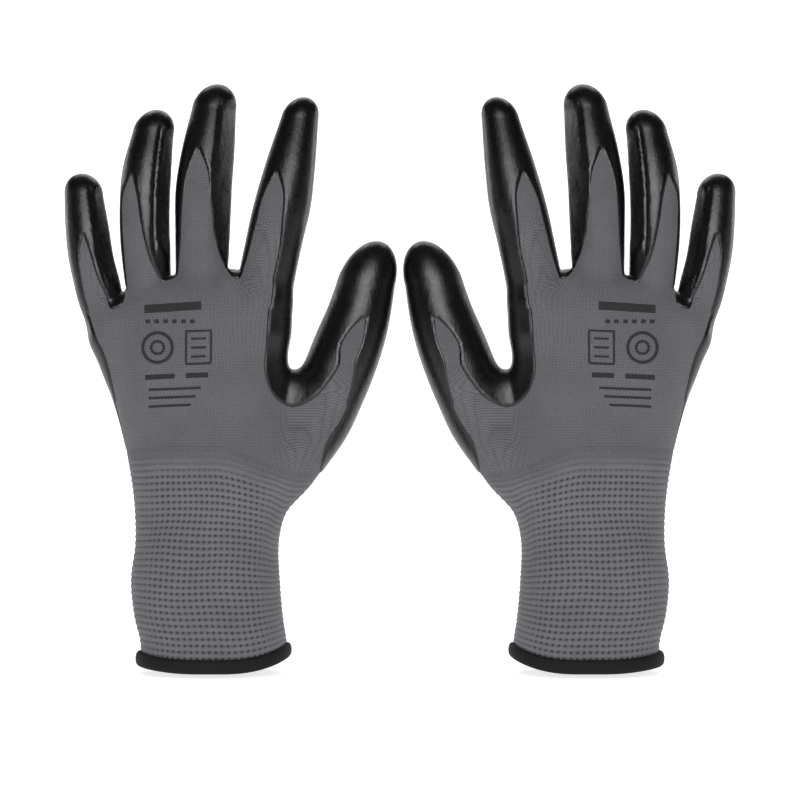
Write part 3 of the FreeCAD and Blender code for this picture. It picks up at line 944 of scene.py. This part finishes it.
def print_strokes():
    """Plain bars, a dotted row, a ring in a ring and a ruled frame: marks that say nothing."""
    ring_centre = (97.5, 132.5)
    quads = stroke([(103, 148), (80, 149.5)], 3.4)
    for index in range(6):
        start = 102.5 - 3.6 * index
        quads += stroke([(start, 143), (start - 1.9, 143.1)], 1.6)
    quads += stroke(ring_points(ring_centre, 6.0), 1.3)
    quads += stroke(ring_points(ring_centre, 2.6, 14), 1.1)
    frame_points = [(86, 139), (76, 139.4), (76, 126.2), (86, 125.8), (86, 139.5)]
    quads += stroke(frame_points, 0.9)
    for index in range(3):
        height = 136 - 3.6 * index
        quads += stroke([(84, height), (78, height + 0.2)], 0.9)
    quads += stroke([(102.5, 120.5), (90.5, 121)], 2.0)
    quads += stroke([(86, 121.2), (77, 121.5)], 2.0)
    for index in range(3):
        height = 115.5 - 3.4 * index
        quads += stroke([(101, height), (80 + 2 * index, height + 0.8)], 1.0)
    return quads


def print_sheet():
    quads = print_strokes()
    flat = np.array([corner for quad in quads for corner in quad])
    y = np.full(len(flat), -30.0)
    for _ in range(60):
        y += glove_distance(flat[:, 0], y, flat[:, 1]) * 0.8
    points = np.stack([flat[:, 0], y, flat[:, 1]], axis=1)
    away = gradient(points)
    sheet = Sheet(points + away * INK_HEIGHT)
    sheet.rows[:, NORMAL] = away
    finish_sheet(sheet)
    facing = np.cross(points[1] - points[0], points[2] - points[1]) @ away[0]
    faces = [tuple(range(4 * index, 4 * index + 4)) for index in range(len(quads))]
    if facing < 0:
        faces = [face[::-1] for face in faces]
    return sheet, faces


# ---------------------------------------------------------------- one form, two gloves
HAND_LOW_Z = 58.0        # the form is meshed from here up
LINING_MESH_LOW_Z = 70.0
LINING_LOW_Z = 88.0      # the hand's lining starts here, where the cuff's lining ends


def hand_sheets():
    """Knit and coating of the hand, each split into its lengths."""
    voxel = SHEET_VOXEL * 1.0
    points, quads = surface_mesh(voxel, 0.0, HAND_LOW_Z)
    quads = [tuple(quad) for quad in quads.tolist()]
    knit = Sheet(points)
    quads, _ = knit.split(
        quads, lambda rows: rows[:, REST_Z] - rib_top(rows[:, REST_Q]) - RIB_FADE)
    knit.rows[:, INSET] = coat_field(knit.rows)

    def bare(rows):
        return KNIT_TUCK - rows[:, INSET]

    def covered(rows):
        return rows[:, INSET]

    shown, _ = knit.split(quads, bare)
    knit.smooth_normals(shown)
    knit.rows[:, NORMAL] = gradient(knit.rows[:, REST])
    finish_sheet(knit)

    coat = Sheet(points)
    coat.rows = knit.rows.copy()
    skin, _ = coat.split(quads, covered)
    for line in LIP_PLACES[1:4]:
        skin = coat.score(skin, lambda rows, line=line: rows[:, INSET] - line)
    away = gradient(coat.rows[:, REST])
    height = np.interp(coat.rows[:, INSET], LIP_PLACES, LIP_HEIGHTS)
    coat.rows[:, PLACE] = coat.rows[:, REST] + away * height[:, None]
    coat.smooth_normals(skin)
    return (knit, cut_lengths(knit, shown)), (coat, cut_lengths(coat, skin))


def lining_sheet():
    """Inside of the hand, seen through the cuff."""
    points, quads = surface_mesh(LINING_VOXEL, -KNIT, LINING_MESH_LOW_Z)
    sheet = Sheet(points)
    faces = [tuple(quad[::-1]) for quad in quads.tolist()]
    faces, _ = sheet.split(faces, lambda rows: rows[:, REST_Z] - LINING_LOW_Z)
    for index, digit in enumerate(DIGITS):
        start, _ = fold_span(digit, "knuckle")
        _, faces = sheet.split(faces, beyond(index, start, up_digit(digit)))
    sheet.smooth_normals(faces)
    finish_sheet(sheet)
    return sheet, faces


def node_of(side, key, kind):
    """The CAD node that a skin of knit or coating replaces."""
    if key == "palm":
        return "%s_%s_%s" % (side, {"liner": "hand", "coating": "palm"}[kind], kind)
    return "%s_%s_%s_%s" % (side, *key, kind)


def piece_name(side, key, label):
    return "%s_%s_%s" % (side, key if key == "palm" else "_".join(key), label)


knit_parts, coat_parts = hand_sheets()
lining = lining_sheet()
rib = ring_sheet(rib_place, RIB_COLUMNS * 4, RIB_ROWS * 4 + 1)
cuff_lining = ring_sheet(lining_place, RIB_COLUMNS * 2, 34)
hem = ring_sheet(hem_place, HEM_THREADS * 6, 20, closed=True)
elastic = [ring_sheet(elastic_place(ELASTIC_FIRST_Z + ELASTIC_PITCH * index), 96, 6, closed=True)
           for index in range(ELASTIC_ROUNDS)]
ink = print_sheet()

for side in SIDES:
    for (sheet, parts), label, slot_name, kind in (
            (knit_parts, "knit", "liner_knit", "liner"),
            (coat_parts, "dip", "nitrile_coating", "coating")):
        for key, faces in parts.items():
            piece = build_object(piece_name(side, key, label), sheet, faces, side)
            set_moving(piece, key, side)
            dress(piece, slot_name, node_of(side, key, kind))
    inside = build_object(side + "_hand_lining", *lining, side)
    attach(inside, side + "_hand")
    dress(inside, "liner_knit", side + "_hand_liner")
    for label, made_from in (("rib", rib), ("rib_lining", cuff_lining)):
        piece = build_object("%s_cuff_%s" % (side, label), *made_from, side)
        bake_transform(piece)
        dress(piece, "rib_knit" if label == "rib" else "liner_knit", side + "_ribbed_cuff")
    for index, made_from in enumerate(elastic):
        piece = build_object("%s_elastic_%d" % (side, index + 1), *made_from, side)
        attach(piece, side + "_cuff")
        dress(piece, "elastic_yarn", side + "_cuff_elastic")
    piece = build_object(side + "_hem", *hem, side)
    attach(piece, side + "_cuff")
    dress(piece, "overlock_thread", side + "_hem_overlock")
    piece = build_object(side + "_print", *ink, side)
    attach(piece, side + "_hand")
    dress(piece, "print_ink", side + "_back_print")


# ---------------------------------------------------------------- floor, light and camera
def studio_material():
    shader = Shader("backdrop")
    return shader.finish(Base_Color=(0.8, 0.8, 0.8, 1), Roughness=0.9, Specular_IOR_Level=0.1,
                         Emission_Color=(1, 1, 1, 1), Emission_Strength=shader.attribute("glow"))


GLOW = 0.75              # emission of the backdrop where the camera sees it, and elsewhere
DIM_GLOW = 0.2
WALL_BEND = 0.7
WALL_TOP = 1.6
SIDE_WALL_X = 2.2
BACK_WALL_Y = 0.9
# name, place, target, size in m, watts
SOFTBOXES = (
    ("front", (0, -1.2, 0.6), (0, 0, 0.1), (0.9, 0.7), 11.5),
    ("front_high", (0, -0.9, 1.0), (0, 0, 0.15), (0.6, 0.3), 2.0),
    ("rim_left", (-1.3, 0.85, 0.3), (0, 0, 0.15), (0.6, 0.9), 3.6),
    ("rim_right", (1.3, 0.85, 0.3), (0, 0, 0.15), (0.6, 0.9), 3.6),
    ("top", (0, 1.0, 1.5), (0, 1.1, 0), (1.6, 0.6), 8.0),
)
WORLD_LIGHT = 0.03


def sweep(flat):
    """Where a floor turns up into a wall, as (distance, height) from the middle outward."""
    turns = [math.radians(9 * step) for step in range(1, 11)]
    wall = [(flat + WALL_BEND * math.sin(turn), WALL_BEND * (1 - math.cos(turn)))
            for turn in turns]
    return [(flat, 0)] + wall + [(flat + WALL_BEND, WALL_TOP)]


def backdrop():
    """A pale floor that turns up into a wall behind the gloves and, more softly, beside them."""
    right = sweep(SIDE_WALL_X)
    left = [(-far, high) for far, high in right[::-1]]
    across = left + [(place, 0) for place in (-1.1, -0.6, 0.6, 1.1)] + right
    along = [(-3.4, 0), (-1.6, 0), (-0.8, 0), (-0.3, 0)] + sweep(BACK_WALL_Y)
    verts = []
    for y, back in along:
        fade = float(smooth(-1.6, 0.0, y))
        verts += [(x, y, max(side * fade, back)) for x, side in across]
    width = len(across)
    corners = [row * width + i for row in range(len(along) - 1) for i in range(width - 1)]
    faces = [(at, at + 1, at + width + 1, at + width) for at in corners]
    mesh = bpy.data.meshes.new("backdrop")
    mesh.from_pydata(verts, [], faces)
    mesh.polygons.foreach_set("use_smooth", np.ones(len(faces), bool))
    x, y, _ = np.array(verts).T
    glow = (1 - smooth(0.6, 1.1, np.abs(x))) * smooth(-0.9, -0.3, y)
    attribute = mesh.attributes.new("glow", "FLOAT", "POINT")
    attribute.data.foreach_set("value", (DIM_GLOW + (GLOW - DIM_GLOW) * glow).astype(np.float32))
    mesh.materials.append(studio_material())
    made = bpy.data.objects.new("backdrop", mesh)
    bpy.context.scene.collection.objects.link(made)


def softbox(name, place, target, size, power):
    light = bpy.data.lights.new(name, "AREA")
    light.shape = "RECTANGLE"
    light.size, light.size_y = size
    light.energy = power
    made = bpy.data.objects.new(name, light)
    made.location = place
    aim = Vector(target) - Vector(place)
    made.rotation_euler = aim.to_track_quat("-Z", "Y").to_euler()
    bpy.context.scene.collection.objects.link(made)


def camera():
    """Square on, as in the photo, with a long lens at the height of the gloves' middle."""
    lens_mm, sensor_mm = 120.0, 36.0
    shown = 0.326  # metres across the picture at the gloves
    data = bpy.data.cameras.new("camera")
    data.lens = lens_mm
    data.sensor_width = sensor_mm
    made = bpy.data.objects.new("camera", data)
    made.location = (0, -shown * lens_mm / sensor_mm, 0.1114)
    made.rotation_euler = (math.radians(90), 0, 0)
    bpy.context.scene.collection.objects.link(made)
    bpy.context.scene.camera = made


backdrop()
camera()
for box in SOFTBOXES:
    softbox(*box)
world = bpy.data.worlds.new("studio")
world.use_nodes = True
background = world.node_tree.nodes["Background"]
background.inputs["Color"].default_value = (1, 1, 1, 1)
background.inputs["Strength"].default_value = WORLD_LIGHT
bpy.context.scene.world = world
bpy.context.scene.view_settings.view_transform = "Standard"
